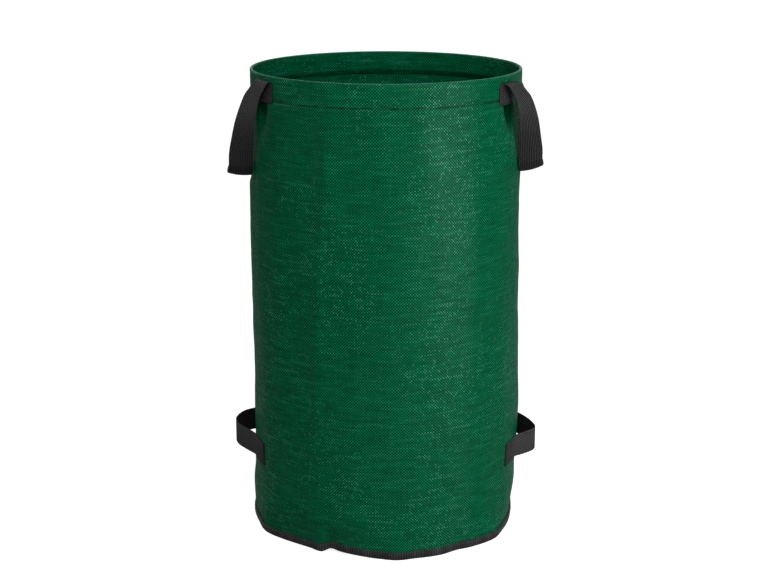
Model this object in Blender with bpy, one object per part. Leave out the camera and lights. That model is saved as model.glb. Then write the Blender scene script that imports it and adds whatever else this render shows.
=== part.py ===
"""Round garden waste bag of coated woven cloth.

Metres, +Z up. The origin is the centre of the base on the floor, and the bag's front faces -Y.
Each webbing handle is made in pieces: two sewn ends, two bends and the loop between them, which swings.
"""

import math

import bmesh
import bpy
from mathutils import Vector

# Bag
RIM_DIAMETER = 0.450
BASE_DIAMETER = 0.450
BAG_HEIGHT = 0.780
CLOTH_THICKNESS = 0.0008
SEWN_GAP = 0.0003
SIDE_SWELL = 0.0020
FOOT_RING_RISE = 0.002
WALL_RING_SHARES = (0.07, 0.16, 0.28, 0.45, 0.65, 0.84, 1.0)
ROUND_SEGMENTS = 60

# Back seam, where the two upright edges of the wall lap on the inside
SEAM_LAP_WIDTH = 0.018
SEAM_EDGE_WIDTH = 0.0012
SEAM_FOOT_CLEARANCE = 0.012
SEAM_TOP_CLEARANCE = 0.013

# Hem at the mouth, with a flat plastic hoop in it
HEM_DEPTH = 0.040
HEM_STITCH_MARGIN = 0.0065
HOOP_THICKNESS = 0.0012
HOOP_END_GAP = 0.002
JOINER_LENGTH = 0.060
JOINER_WALL = 0.0006
HEM_FOLD_STEPS = 4

# Base disc and the tape that binds its seam
BINDING_HEIGHT = 0.010
BINDING_THICKNESS = 0.0015
BINDING_EDGE_ROUND = 0.0006
BASE_LIFT_WIDTH = 0.045
BASE_RISE_FOOT = 0.006
BASE_RISE_START = 0.003

# Webbing of all four handles
WEBBING_WIDTH = 0.040
WEBBING_THICKNESS = 0.0016
WEBBING_STRIPS = 2
PLATE_STEPS = 4

# Upper lifting handles
UPPER_END_AZIMUTH = 32.5
UPPER_END_TOP = 0.014
UPPER_END_LENGTH = 0.030
UPPER_FOLD_RADIUS = 0.004
UPPER_FOLD_STEPS = 6
UPPER_LEFT_DROP = 0.183
UPPER_RIGHT_DROP = 0.163
UPPER_LOOP_REACH = 0.024
UPPER_LOOP_STATIONS = 58
DENT_DEPTH = 0.004
DENT_LENGTH = 0.130
DENT_SPREAD = 8.0
DENT_RING_SHARES = (0.6, 0.3, 0.004)

# Way of an upper loop, from its fold to the middle of its bottom run. Each row holds shares: of the end's
# azimuth, of the loop's reach outside the rim, of its drop, and of the twist that turns the webbing from
# flat on the wall to square off it.
UPPER_LOOP_WAY = (
    (0.938, 0.38, 0.000, 0.04),
    (0.885, 0.49, 0.060, 0.09),
    (0.806, 0.68, 0.148, 0.16),
    (0.698, 0.94, 0.376, 0.32),
    (0.622, 0.98, 0.588, 0.58),
    (0.545, 0.99, 0.752, 0.80),
    (0.470, 0.98, 0.882, 0.93),
    (0.320, 0.97, 0.972, 1.00),
    (0.142, 0.98, 0.998, 1.00),
    (0.000, 1.00, 1.000, 1.00),
)

# Lower tipping handles
LOWER_HANDLE_HEIGHT = 0.134
LOWER_HANDLE_SETBACK = 5.5
LOWER_END_HALF_SPAN = 19.5
LOWER_BEND_HALF_SPAN = 10.0
LOWER_END_LENGTH = 0.038
LOWER_LOOP_REACH = 0.0335
LOWER_LOOP_FLATNESS = 2.3
LOWER_LOOP_FALL = 1.5
LOWER_STATIONS = 12

# Worked out from the sizes above
RIM_RADIUS = RIM_DIAMETER / 2
BASE_RADIUS = BASE_DIAMETER / 2
HEM_BOTTOM = BAG_HEIGHT - HEM_DEPTH
HEM_THICKNESS = 2 * CLOTH_THICKNESS + 4 * SEWN_GAP + 2 * JOINER_WALL + HOOP_THICKNESS
POCKET_TOP = BAG_HEIGHT - HEM_THICKNESS / 2
WALL_FOOT = BINDING_THICKNESS + SEWN_GAP
STEP_ANGLE = 360.0 / ROUND_SEGMENTS
SAME_ANGLE = 0.01
SAME_POINT = 0.00001
SIDES = {"left": -1, "right": 1}
UPPER_DROPS = {"left": UPPER_LEFT_DROP, "right": UPPER_RIGHT_DROP}
ENDS = {"front": 1, "rear": -1}

COLOURS = {
    "woven_green": ((0.004, 0.076, 0.031), 0.42),
    "webbing_black": ((0.013, 0.013, 0.014), 0.85),
    "binding_black": ((0.017, 0.016, 0.016), 0.80),
    "hoop_plastic": ((0.020, 0.020, 0.021), 0.45),
}


def clear_scene():
    for item in list(bpy.data.objects):
        bpy.data.objects.remove(item, do_unlink=True)


def material(name):
    if name in bpy.data.materials:
        return bpy.data.materials[name]
    colour, roughness = COLOURS[name]
    made = bpy.data.materials.new(name)
    made.use_nodes = True
    shader = made.node_tree.nodes["Principled BSDF"]
    shader.inputs["Base Color"].default_value = (*colour, 1.0)
    shader.inputs["Roughness"].default_value = roughness
    shader.inputs["Metallic"].default_value = 0.0
    return made


def finish(name, bm, slot, origin=(0.0, 0.0, 0.0)):
    """Turns a closed bmesh into an object whose origin is on its joint, or at the bag's own origin."""
    bmesh.ops.recalc_face_normals(bm, faces=bm.faces)
    if bm.calc_volume(signed=True) < 0:
        bmesh.ops.reverse_faces(bm, faces=bm.faces)
    bmesh.ops.translate(bm, verts=bm.verts, vec=-Vector(origin))
    mesh = bpy.data.meshes.new(name)
    bm.to_mesh(mesh)
    bm.free()
    mesh.materials.append(material(slot))
    mesh.shade_smooth()
    mesh.set_sharp_from_angle(angle=math.radians(35))
    made = bpy.data.objects.new(name, mesh)
    made.location = origin
    bpy.context.collection.objects.link(made)
    return made


def around(angle, radius, height):
    """A point at this azimuth, in degrees from the front towards the right."""
    turn = math.radians(angle)
    return Vector((radius * math.sin(turn), -radius * math.cos(turn), height))


def chord(angle):
    """How far in a point between two corners of the round outline lies, as a share of the radius."""
    half = STEP_ANGLE / 2
    return math.cos(math.radians(half)) / math.cos(math.radians(angle % STEP_ANGLE - half))


def full_round():
    return [STEP_ANGLE * step for step in range(ROUND_SEGMENTS)]


def arc_angles(middle, half_length, radius):
    """The round outline's corners within a stretch of arc, and the stretch's two ends."""
    half = math.degrees(half_length / radius)
    inside = [angle for angle in full_round() if abs(angle - middle) < half - SAME_ANGLE]
    return [middle - half, *inside, middle + half]


def turned(name, slot, profile, angles, closed):
    """Sweeps profile(angle), a closed outline of (radius, height), through these azimuths."""
    bm = bmesh.new()
    rings = []
    for angle in angles:
        points = [around(angle, radius * chord(angle), height) for radius, height in profile(angle)]
        rings.append([bm.verts.new(point) for point in points])
    pairs = list(zip(rings, rings[1:]))
    if closed:
        pairs.append((rings[-1], rings[0]))
    for ring, following in pairs:
        for index in range(len(ring)):
            after = (index + 1) % len(ring)
            bm.faces.new((ring[index], ring[after], following[after], following[index]))
    if not closed:
        bm.faces.new(rings[0])
        bm.faces.new(rings[-1])
    return finish(name, bm, slot)


def side_azimuth(side, forward):
    """Azimuth of a place that lies this many degrees forward of the left or right side."""
    return SIDES[side] * (90.0 - forward)


def bump(share):
    """0 outside 0 to 1, and a smooth hump between."""
    return math.sin(math.pi * min(max(share, 0.0), 1.0))


def wall_radius(angle, height):
    """Outer radius of the slack wall: a slight swell, and a dent under each upper handle's end."""
    radius = BASE_RADIUS + (RIM_RADIUS - BASE_RADIUS) * min(height / HEM_BOTTOM, 1.0)
    swell = SIDE_SWELL * bump((height - BINDING_HEIGHT) / (HEM_BOTTOM - BINDING_HEIGHT))
    hump = bump((HEM_BOTTOM - height) / DENT_LENGTH)
    dent = 0.0
    for side in SIDES:
        for end in ENDS.values():
            middle = side_azimuth(side, end * UPPER_END_AZIMUTH)
            away = (angle - middle + 180.0) % 360.0 - 180.0
            dent += DENT_DEPTH * hump * math.exp(-((away / DENT_SPREAD) ** 2))
    return radius + swell - dent


def wall_heights():
    """Heights of the wall's rings: close together at the foot and under the hem, where it bends."""
    foot = [WALL_FOOT, BINDING_HEIGHT + FOOT_RING_RISE]
    plain = HEM_BOTTOM - DENT_LENGTH - foot[-1]
    middle = [foot[-1] + plain * share for share in WALL_RING_SHARES]
    under_hem = [HEM_BOTTOM - DENT_LENGTH * share for share in DENT_RING_SHARES]
    return foot + middle + under_hem


def half_circle(middle, height, radius, rising):
    """Points over the top of the hem, from its outer side to its inner one or back."""
    turns = [math.pi * step / HEM_FOLD_STEPS for step in range(HEM_FOLD_STEPS + 1)]
    if rising:
        turns.reverse()
    return [(middle + radius * math.cos(turn), height + radius * math.sin(turn)) for turn in turns]


def make_wall():
    """The wall with its top edge turned inwards, so that the hem is a pocket open along its bottom."""
    heights = wall_heights()
    seam_half = math.degrees(SEAM_LAP_WIDTH / 2 / BASE_RADIUS)
    seam_edge = math.degrees(SEAM_EDGE_WIDTH / BASE_RADIUS)
    lap_foot = BINDING_HEIGHT + SEAM_FOOT_CLEARANCE
    lap_top = HEM_BOTTOM - SEAM_TOP_CLEARANCE
    pocket_inner = RIM_RADIUS - HEM_THICKNESS + CLOTH_THICKNESS
    hem_middle = RIM_RADIUS - HEM_THICKNESS / 2
    lip = RIM_RADIUS - CLOTH_THICKNESS - SEWN_GAP
    slope_top = HEM_BOTTOM + HEM_STITCH_MARGIN

    def profile(angle):
        lapped = abs(angle - 180.0) < seam_half + SAME_ANGLE
        outer = [(wall_radius(angle, height), height) for height in heights]
        inner = []
        for height in heights:
            layers = 2 if lapped and lap_foot < height < lap_top else 1
            thickness = CLOTH_THICKNESS * layers
            inner.append((wall_radius(angle, height) - thickness, height))
        over = half_circle(hem_middle, POCKET_TOP, HEM_THICKNESS / 2, rising=False)
        turned_in = [
            (RIM_RADIUS - HEM_THICKNESS, slope_top),
            (lip - CLOTH_THICKNESS, HEM_BOTTOM),
            (lip, HEM_BOTTOM),
            (pocket_inner, slope_top),
        ]
        under = half_circle(hem_middle, POCKET_TOP, HEM_THICKNESS / 2 - CLOTH_THICKNESS, rising=True)
        return outer + over + turned_in + under + inner[::-1]

    edges = (seam_half, seam_half + seam_edge)
    seam_edges = [180.0 + side * edge for side in SIDES.values() for edge in edges]
    angles = sorted(full_round() + seam_edges)
    return turned("wall_panel", "woven_green", profile, angles, closed=True)


def seam_radii():
    """Radii of the layers in the bottom seam, from the wall's inner face inwards."""
    edge_outer = BASE_RADIUS - CLOTH_THICKNESS - SEWN_GAP
    edge_inner = edge_outer - CLOTH_THICKNESS
    leg_outer = edge_inner - SEWN_GAP
    leg_inner = leg_outer - BINDING_THICKNESS
    rise_outer = leg_inner - SEWN_GAP
    return edge_outer, edge_inner, leg_outer, leg_inner, rise_outer


def make_base_disc():
    """Flat on the floor, lifted at its edge to the seam and turned down beside the wall's own edge."""
    edge_outer, edge_inner, _, _, rise_outer = seam_radii()
    flat_edge = BASE_RADIUS - BASE_LIFT_WIDTH
    over = BINDING_HEIGHT + SEWN_GAP
    under_side = [
        (0.0, 0.0),
        (flat_edge, 0.0),
        (rise_outer - BASE_RISE_FOOT, BASE_RISE_START),
        (rise_outer, BINDING_HEIGHT),
        (rise_outer + SEWN_GAP, over),
        (edge_inner, over),
        (edge_inner, WALL_FOOT),
    ]
    upper_side = [
        (edge_outer, WALL_FOOT),
        (edge_outer, over + CLOTH_THICKNESS),
        (rise_outer - CLOTH_THICKNESS / 2, over + CLOTH_THICKNESS),
        (rise_outer - CLOTH_THICKNESS, BINDING_HEIGHT),
        (rise_outer - BASE_RISE_FOOT - CLOTH_THICKNESS / 2, BASE_RISE_START + CLOTH_THICKNESS),
        (flat_edge, CLOTH_THICKNESS),
        (0.0, CLOTH_THICKNESS),
    ]
    bm = bmesh.new()
    points = [bm.verts.new(around(0.0, radius, height)) for radius, height in under_side + upper_side]
    line = [bm.edges.new(pair) for pair in zip(points, points[1:])]
    bmesh.ops.spin(
        bm, geom=points + line, cent=(0, 0, 0), axis=(0, 0, 1), dvec=(0, 0, 0),
        angle=math.tau, steps=ROUND_SEGMENTS, use_merge=True, use_duplicate=False,
    )
    bmesh.ops.remove_doubles(bm, verts=bm.verts, dist=SAME_POINT)
    return finish("base_disc", bm, "woven_green")


def make_base_binding():
    """Tape folded up round the seam, open at the top."""
    _, _, leg_outer, leg_inner, _ = seam_radii()
    outer_face = BASE_RADIUS + SEWN_GAP
    outside = outer_face + BINDING_THICKNESS
    section = [
        (outer_face, BINDING_THICKNESS),
        (outer_face, BINDING_HEIGHT),
        (outside, BINDING_HEIGHT),
        (outside, BINDING_EDGE_ROUND),
        (outside - BINDING_EDGE_ROUND, 0.0),
        (leg_inner + BINDING_EDGE_ROUND, 0.0),
        (leg_inner, BINDING_EDGE_ROUND),
        (leg_inner, BINDING_HEIGHT),
        (leg_outer, BINDING_HEIGHT),
        (leg_outer, BINDING_THICKNESS),
    ]
    return turned("base_binding", "binding_black", lambda angle: section, full_round(), closed=True)


def hoop_faces():
    """Outer radius, inner radius, bottom and top of the hoop in its pocket."""
    outer = RIM_RADIUS - CLOTH_THICKNESS - JOINER_WALL - 2 * SEWN_GAP
    top = POCKET_TOP - JOINER_WALL - SEWN_GAP
    return outer, outer - HOOP_THICKNESS, HEM_BOTTOM + HEM_STITCH_MARGIN, top


def make_rim_hoop():
    """A flat strip bent round, whose two ends meet at the back."""
    outer, inner, bottom, top = hoop_faces()
    section = [(inner, bottom), (outer, bottom), (outer, top), (inner, top)]
    half_gap = math.degrees(HOOP_END_GAP / 2 / outer)
    inside = [angle + 180.0 for angle in full_round() if angle > 0.0]
    angles = [180.0 + half_gap, *inside, 540.0 - half_gap]
    return turned("rim_hoop", "hoop_plastic", lambda angle: section, angles, closed=False)


def make_hoop_joiner():
    """A clip pressed down over both ends of the hoop."""
    outer, inner, bottom, top = hoop_faces()
    out = outer + SEWN_GAP
    into = inner - SEWN_GAP
    roof = top + SEWN_GAP
    section = [
        (out, bottom),
        (out + JOINER_WALL, bottom),
        (out + JOINER_WALL, roof + JOINER_WALL),
        (into - JOINER_WALL, roof + JOINER_WALL),
        (into - JOINER_WALL, bottom),
        (into, bottom),
        (into, roof),
        (out, roof),
    ]
    angles = arc_angles(180.0, JOINER_LENGTH / 2, outer)
    return turned("hoop_joiner", "hoop_plastic", lambda angle: section, angles, closed=False)


def sewn_end(name, middle, half_length, bottom, top):
    """Webbing that lies flat on the wall."""
    half = math.degrees(half_length / RIM_RADIUS)
    angles = [middle + half * (2 * step / PLATE_STEPS - 1) for step in range(PLATE_STEPS + 1)]
    bm = bmesh.new()
    grids = []
    for lift in (SEWN_GAP, SEWN_GAP + WEBBING_THICKNESS):
        rows = []
        for height in (bottom, top):
            seat = [wall_radius(angle, height) for angle in angles]
            row = [around(angle, radius + lift, height) for angle, radius in zip(angles, seat)]
            rows.append([bm.verts.new(point) for point in row])
        grids.append(rows)
    loops = [inner + outer[::-1] for inner, outer in zip(grids[0], grids[1])]
    count = len(loops[0])
    for index in range(count):
        after = (index + 1) % count
        bm.faces.new((loops[0][index], loops[0][after], loops[1][after], loops[1][index]))
    for rows in zip(grids[0], grids[1]):
        for step in range(PLATE_STEPS):
            bm.faces.new((rows[0][step], rows[0][step + 1], rows[1][step + 1], rows[1][step]))
    return finish(name, bm, "webbing_black")


def smooth_rows(rows, count):
    """Evenly spaced rows on a smooth curve through these rows."""
    padded = [rows[0], *rows, rows[-1]]
    spans = len(rows) - 1
    made = []
    for step in range(count):
        place = spans * step / (count - 1)
        span = min(int(place), spans - 1)
        t = place - span
        before, start, end, after = padded[span : span + 4]
        row = []
        for a, b, c, d in zip(before, start, end, after):
            bend = (2 * a - 5 * b + 4 * c - d) * t**2 + (3 * b - a - 3 * c + d) * t**3
            row.append(b + 0.5 * ((c - a) * t + bend))
        made.append(row)
    return made


def webbing(name, stations, origin=(0.0, 0.0, 0.0)):
    """Webbing along stations of (centre, direction across)."""
    bm = bmesh.new()
    rings = []
    last = len(stations) - 1
    for index, (centre, across) in enumerate(stations):
        along = stations[min(index + 1, last)][0] - stations[max(index - 1, 0)][0]
        along.normalize()
        wide = across.normalized() * (WEBBING_WIDTH / 2)
        deep = along.cross(wide).normalized() * (WEBBING_THICKNESS / 2)
        places = [1 - 2 * step / WEBBING_STRIPS for step in range(WEBBING_STRIPS + 1)]
        outline = [centre + wide * place + deep for place in places]
        outline += [centre + wide * place - deep for place in reversed(places)]
        rings.append([bm.verts.new(corner) for corner in outline])
    for ring, following in zip(rings, rings[1:]):
        for index in range(len(ring)):
            after = (index + 1) % len(ring)
            bm.faces.new((ring[index], ring[after], following[after], following[index]))
    bm.faces.new(rings[0])
    bm.faces.new(rings[-1])
    return finish(name, bm, "webbing_black", origin)


def shortened(stations, start, end):
    """The same stations with this much taken off each end, for the gap between two pieces."""
    (first, across_first), (second, _) = stations[0], stations[1]
    (last, across_last), (before, _) = stations[-1], stations[-2]
    head = (first + (second - first).normalized() * start, across_first)
    tail = (last + (before - last).normalized() * end, across_last)
    return [head, *stations[1:-1], tail]


def upper_station(side, end, azimuth, radius, height, twist):
    """A place on an upper handle. twist turns the webbing from flat on the wall to square off it."""
    outward = SIDES[side]
    middle = math.radians(azimuth)
    turn = math.radians(UPPER_END_AZIMUTH + (90.0 - UPPER_END_AZIMUTH) * twist)
    centre = Vector((outward * radius * math.cos(middle), -end * radius * math.sin(middle), height))
    across = Vector((outward * math.sin(turn), end * math.cos(turn), 0.0))
    return centre, across


def upper_fold(side, end):
    """Stations of the bend that takes the webbing over from its sewn end to its loop."""
    seat = RIM_RADIUS + SEWN_GAP + WEBBING_THICKNESS / 2
    top = BAG_HEIGHT - UPPER_END_TOP
    loop_share, reach_share, _, loop_twist = UPPER_LOOP_WAY[0]
    reach = RIM_RADIUS + UPPER_LOOP_REACH * reach_share - seat
    stations = []
    for step in range(UPPER_FOLD_STEPS + 1):
        share = step / UPPER_FOLD_STEPS
        turn = math.pi * share
        radius = seat + reach * (1 - math.cos(turn)) / 2
        height = top + UPPER_FOLD_RADIUS * math.sin(turn)
        azimuth = UPPER_END_AZIMUTH * (1 + (loop_share - 1) * share)
        stations.append(upper_station(side, end, azimuth, radius, height, loop_twist * share))
    return stations


def upper_loop(side):
    """Stations of a hanging loop, from its front fold, along its bottom and up to its rear fold."""
    top = BAG_HEIGHT - UPPER_END_TOP
    drop = UPPER_DROPS[side] - UPPER_END_TOP
    front = []
    rear = []
    for share, out, down, twist in smooth_rows(UPPER_LOOP_WAY, UPPER_LOOP_STATIONS // 2):
        radius = RIM_RADIUS + UPPER_LOOP_REACH * out
        place = (UPPER_END_AZIMUTH * share, radius, top - drop * down, twist)
        front.append(upper_station(side, ENDS["front"], *place))
        rear.append(upper_station(side, ENDS["rear"], *place))
    return front + rear[-2::-1]


def make_upper_handle(side):
    top = BAG_HEIGHT - UPPER_END_TOP
    for end, sign in ENDS.items():
        middle = side_azimuth(side, sign * UPPER_END_AZIMUTH)
        sewn_end(
            f"upper_{side}_{end}_end", middle, WEBBING_WIDTH / 2, top - UPPER_END_LENGTH, top - SEWN_GAP
        )
        webbing(f"upper_{side}_{end}_bend", upper_fold(side, sign))
    loop = shortened(upper_loop(side), SEWN_GAP, SEWN_GAP)
    webbing(f"upper_{side}_loop", loop, upper_axis(side))


def upper_axis(side):
    """A point on the line, parallel to Y, about which an upper loop swings."""
    reach = (RIM_RADIUS + UPPER_FOLD_RADIUS) * math.cos(math.radians(UPPER_END_AZIMUTH))
    return Vector((SIDES[side] * reach, 0.0, BAG_HEIGHT - UPPER_END_TOP + 2 * UPPER_FOLD_RADIUS))


def lower_seat(side):
    return wall_radius(side_azimuth(side, 0.0), LOWER_HANDLE_HEIGHT) + SEWN_GAP + WEBBING_THICKNESS / 2


def lower_stations(side, start, end):
    """Stations of a lower handle between two angles from its middle, positive to the front."""
    stations = []
    for step in range(LOWER_STATIONS + 1):
        away = start + (end - start) * step / LOWER_STATIONS
        share = min(abs(away) / LOWER_END_HALF_SPAN, 1.0)
        stand_off = LOWER_LOOP_REACH * (1 - share**LOWER_LOOP_FLATNESS) ** LOWER_LOOP_FALL
        azimuth = side_azimuth(side, away - LOWER_HANDLE_SETBACK)
        centre = around(azimuth, lower_seat(side) + stand_off, LOWER_HANDLE_HEIGHT)
        stations.append((centre, Vector((0.0, 0.0, 1.0))))
    return stations


def lower_axis(side):
    """The middle of the line between the two bends, about which a lower loop swings."""
    half = math.radians((LOWER_END_HALF_SPAN + LOWER_BEND_HALF_SPAN) / 2)
    reach = lower_seat(side) * math.cos(half)
    return around(side_azimuth(side, -LOWER_HANDLE_SETBACK), reach, LOWER_HANDLE_HEIGHT)


def make_lower_handle(side):
    bottom = LOWER_HANDLE_HEIGHT - WEBBING_WIDTH / 2
    end_half = math.degrees(LOWER_END_LENGTH / 2 / RIM_RADIUS)
    for end, sign in ENDS.items():
        middle = sign * (LOWER_END_HALF_SPAN + end_half) - LOWER_HANDLE_SETBACK
        sewn_end(
            f"lower_{side}_{end}_end", side_azimuth(side, middle), LOWER_END_LENGTH / 2,
            bottom, bottom + WEBBING_WIDTH,
        )
        bend = lower_stations(side, sign * LOWER_END_HALF_SPAN, sign * LOWER_BEND_HALF_SPAN)
        webbing(f"lower_{side}_{end}_bend", shortened(bend, SEWN_GAP, 0.0))
    loop = lower_stations(side, LOWER_BEND_HALF_SPAN, -LOWER_BEND_HALF_SPAN)
    webbing(f"lower_{side}_loop", shortened(loop, SEWN_GAP, SEWN_GAP), lower_axis(side))


def main():
    clear_scene()
    make_wall()
    make_base_disc()
    make_base_binding()
    make_rim_hoop()
    make_hoop_joiner()
    for side in SIDES:
        make_upper_handle(side)
        make_lower_handle(side)


main()
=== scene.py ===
"""Looks of a round garden waste bag: woven green cloth, black webbing handles, black tape round the base.

Metres, +Z up, the bag's front towards -Y. An azimuth is in degrees from the front towards the right.
"""

import math
from functools import lru_cache

import bmesh
import bpy
from mathutils import Matrix, Vector, noise


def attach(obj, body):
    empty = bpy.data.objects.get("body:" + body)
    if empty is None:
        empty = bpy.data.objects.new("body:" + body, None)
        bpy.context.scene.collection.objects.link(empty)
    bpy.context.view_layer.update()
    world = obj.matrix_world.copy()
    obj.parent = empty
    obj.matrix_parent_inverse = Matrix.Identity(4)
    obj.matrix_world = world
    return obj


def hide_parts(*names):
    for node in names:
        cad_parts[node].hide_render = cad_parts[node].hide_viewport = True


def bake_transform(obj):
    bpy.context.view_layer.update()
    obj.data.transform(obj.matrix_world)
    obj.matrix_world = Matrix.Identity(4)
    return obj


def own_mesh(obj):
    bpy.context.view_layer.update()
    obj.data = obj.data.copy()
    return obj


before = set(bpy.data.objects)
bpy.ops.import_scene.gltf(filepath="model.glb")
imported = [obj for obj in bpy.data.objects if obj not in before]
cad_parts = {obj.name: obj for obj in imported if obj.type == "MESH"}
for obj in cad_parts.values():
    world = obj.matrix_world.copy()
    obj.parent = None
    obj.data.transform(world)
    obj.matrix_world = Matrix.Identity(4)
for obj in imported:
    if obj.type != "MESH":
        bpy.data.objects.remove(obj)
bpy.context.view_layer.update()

# Sizes of the bag, as its solids have them.
RIM_RADIUS = 0.225
BAG_HEIGHT = 0.780
HEM_BOTTOM = 0.740
HEM_THICKNESS = 0.0052
CLOTH = 0.0008
SEWN_GAP = 0.0003
WALL_FOOT = 0.0018
POCKET_TOP = BAG_HEIGHT - HEM_THICKNESS / 2
RIM_ROUND = math.tau * RIM_RADIUS
SIDES = {"left": -1, "right": 1}
ENDS = {"front": 1, "rear": -1}

# Doubled edge of the wall, up the inside of the back
LAP_WIDTH = 0.018
LAP_FOOT = 0.022
LAP_BELOW_HEM = 0.013

# Webbing of the handles: its lengthwise ribs, how deep the grooves between them are, and how much thinner its
# edges are, as shares of half its thickness
WEBBING_WIDTH = 0.040
WEBBING_THICKNESS = 0.0016
WEBBING_RIBS = 14
RIB_STEPS = 4
RIB_DEPTH = 0.44
SELVEDGE_THINNING = 0.30

# Upper handles: their sewn ends, the fold over the top of each end, and the loop. The fold turns the webbing
# over by this many radians. Each side hangs a little its own way: its drop below the rim, how far its bottom
# run and its upper half stand out further, its shift up, and how far its bottom run rolls inwards.
UPPER_END_AZIMUTH = 32.5
UPPER_END_TOP = 0.014
UPPER_END_LENGTH = 0.030
UPPER_FOLD_RADIUS = 0.0055
UPPER_FOLD_TURN = 2.45
UPPER_LOOP_REACH = 0.024
UPPER_DROPS = {"left": 0.1745, "right": 0.162}
UPPER_LOW_REACHES = {"left": 0.0016, "right": 0.0006}
UPPER_BULGES = {"left": -0.0008, "right": 0.0050}
UPPER_SHIFTS = {"left": 0.0004, "right": -0.0026}
UPPER_ROLLS = {"left": 0.04, "right": 0.22}
MIDDLE_ROLL = 0.20
LOOP_HOLLOW = 11.0

# Lower handles: middle height, degrees behind the side, half spans of the loop and its bends in degrees, and
# how many degrees longer each front sewn end is than the rear one
LOWER_HANDLE_HEIGHT = 0.134
LOWER_HANDLE_SETBACK = 5.5
LOWER_END_HALF_SPAN = 19.5
LOWER_BEND_HALF_SPAN = 10.0
LOWER_END_LENGTH = 0.038
LOWER_FRONT_EXTRAS = {"left": 2.0, "right": 3.6}

# Stitched boxes on the sewn ends: half their width and half their height
UPPER_BOX = (0.0155, 0.0115)
LOWER_BOX = (0.0145, 0.0155)

# Way of an upper loop from its fold to the middle of its bottom run, as shares: of the end's azimuth, of the
# reach outside the rim, of the drop, and of the twist from flat on the wall to square off it
UPPER_LOOP_WAY = (
    (0.938, 0.38, 0.000, 0.05),
    (0.885, 0.49, 0.060, 0.10),
    (0.812, 0.66, 0.148, 0.19),
    (0.716, 0.91, 0.376, 0.40),
    (0.646, 0.99, 0.588, 0.64),
    (0.578, 0.99, 0.752, 0.84),
    (0.524, 0.92, 0.890, 0.95),
    (0.400, 0.86, 0.982, 1.00),
    (0.200, 0.83, 1.000, 1.00),
    (0.000, 0.82, 1.000, 1.00),
)

# How far a lower loop stands off the wall: degrees forward of its middle, distance, and how much it is lifted
LOWER_LOOP_WAYS = {
    "left": (
        (-24.0, 0.0000, 0.0000),
        (-20.5, 0.0000, 0.0000),
        (-17.5, 0.0060, 0.0010),
        (-13.5, 0.0190, 0.0022),
        (-8.8, 0.0300, 0.0028),
        (-1.0, 0.0352, 0.0030),
        (4.7, 0.0300, 0.0026),
        (10.0, 0.0180, 0.0018),
        (15.0, 0.0046, 0.0006),
        (18.5, 0.0000, 0.0000),
        (24.0, 0.0000, 0.0000),
    ),
    "right": (
        (-24.0, 0.0000, 0.0000),
        (-20.5, 0.0000, 0.0000),
        (-15.0, 0.0070, 0.0000),
        (-8.0, 0.0180, 0.0000),
        (0.6, 0.0270, 0.0000),
        (5.5, 0.0312, 0.0000),
        (8.0, 0.0318, 0.0000),
        (10.5, 0.0286, 0.0000),
        (15.0, 0.0150, 0.0000),
        (19.0, 0.0014, 0.0000),
        (20.5, 0.0000, 0.0000),
        (24.0, 0.0000, 0.0000),
    ),
}

# Slack wall: height, mean radius, lean to the right
WALL_LINE = (
    (0.000, 0.2262, -0.0040),
    (0.018, 0.2264, -0.0040),
    (0.056, 0.2284, -0.0028),
    (0.093, 0.2274, -0.0016),
    (0.204, 0.2292, 0.0004),
    (0.270, 0.2282, 0.0004),
    (0.340, 0.2276, -0.0008),
    (0.384, 0.2270, -0.0015),
    (0.437, 0.2274, -0.0018),
    (0.489, 0.2274, -0.0018),
    (0.575, 0.2264, -0.0016),
    (0.670, 0.2254, -0.0006),
    (0.740, 0.2250, 0.0000),
)

# Wavy edge of the base: azimuth, radius, lift off the floor
BASE_EDGE = (
    (-92.0, 0.2300, 0.0000),
    (-72.0, 0.2295, 0.0000),
    (-61.0, 0.2335, 0.0000),
    (-50.0, 0.2270, 0.0004),
    (-41.0, 0.2232, 0.0010),
    (-34.0, 0.2225, 0.0008),
    (-28.5, 0.2240, 0.0000),
    (-25.0, 0.2168, 0.0054),
    (-20.0, 0.2188, 0.0036),
    (-11.5, 0.2220, 0.0016),
    (-2.5, 0.2270, 0.0000),
    (4.4, 0.2328, 0.0000),
    (12.0, 0.2295, 0.0000),
    (23.0, 0.2288, 0.0000),
    (31.0, 0.2258, 0.0012),
    (38.0, 0.2275, 0.0000),
    (52.0, 0.2322, 0.0000),
    (61.0, 0.2262, 0.0004),
    (79.0, 0.2190, 0.0000),
    (92.0, 0.2195, 0.0000),
    (112.0, 0.2240, 0.0008),
    (135.0, 0.2295, 0.0000),
    (158.0, 0.2250, 0.0020),
    (180.0, 0.2280, 0.0000),
    (205.0, 0.2238, 0.0012),
    (230.0, 0.2285, 0.0000),
    (250.0, 0.2255, 0.0008),
)
EDGE_REACH = 0.070

# Soft upright creases: azimuth at the top and at the foot, how much the wall turns there, lowest and highest
CREASES = (
    (0.3, 1.0, 0.070, 0.00, 0.74),
    (-24.5, -34.0, 0.200, 0.06, 0.82),
    (41.0, 38.0, 0.080, 0.00, 0.76),
    (19.0, 16.0, -0.030, 0.10, 0.74),
    (72.0, 70.0, 0.024, 0.05, 0.60),
    (150.0, 146.0, 0.030, 0.05, 0.66),
    (-128.0, -131.0, 0.028, 0.06, 0.62),
    (-165.0, -160.0, 0.022, 0.10, 0.50),
)

# Hollow in the cloth behind the left upper handle's lower edge: azimuth, depth, degrees to where it starts to
# fade and where it ends, and the heights where it starts, is deep, starts to fade and ends
LEAN_AZIMUTH = -90.0
LEAN_DEPTH = 0.0032
LEAN_SPAN = (15.0, 25.0)
LEAN_HEIGHTS = (0.588, 0.601, 0.613, 0.648)

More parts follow.
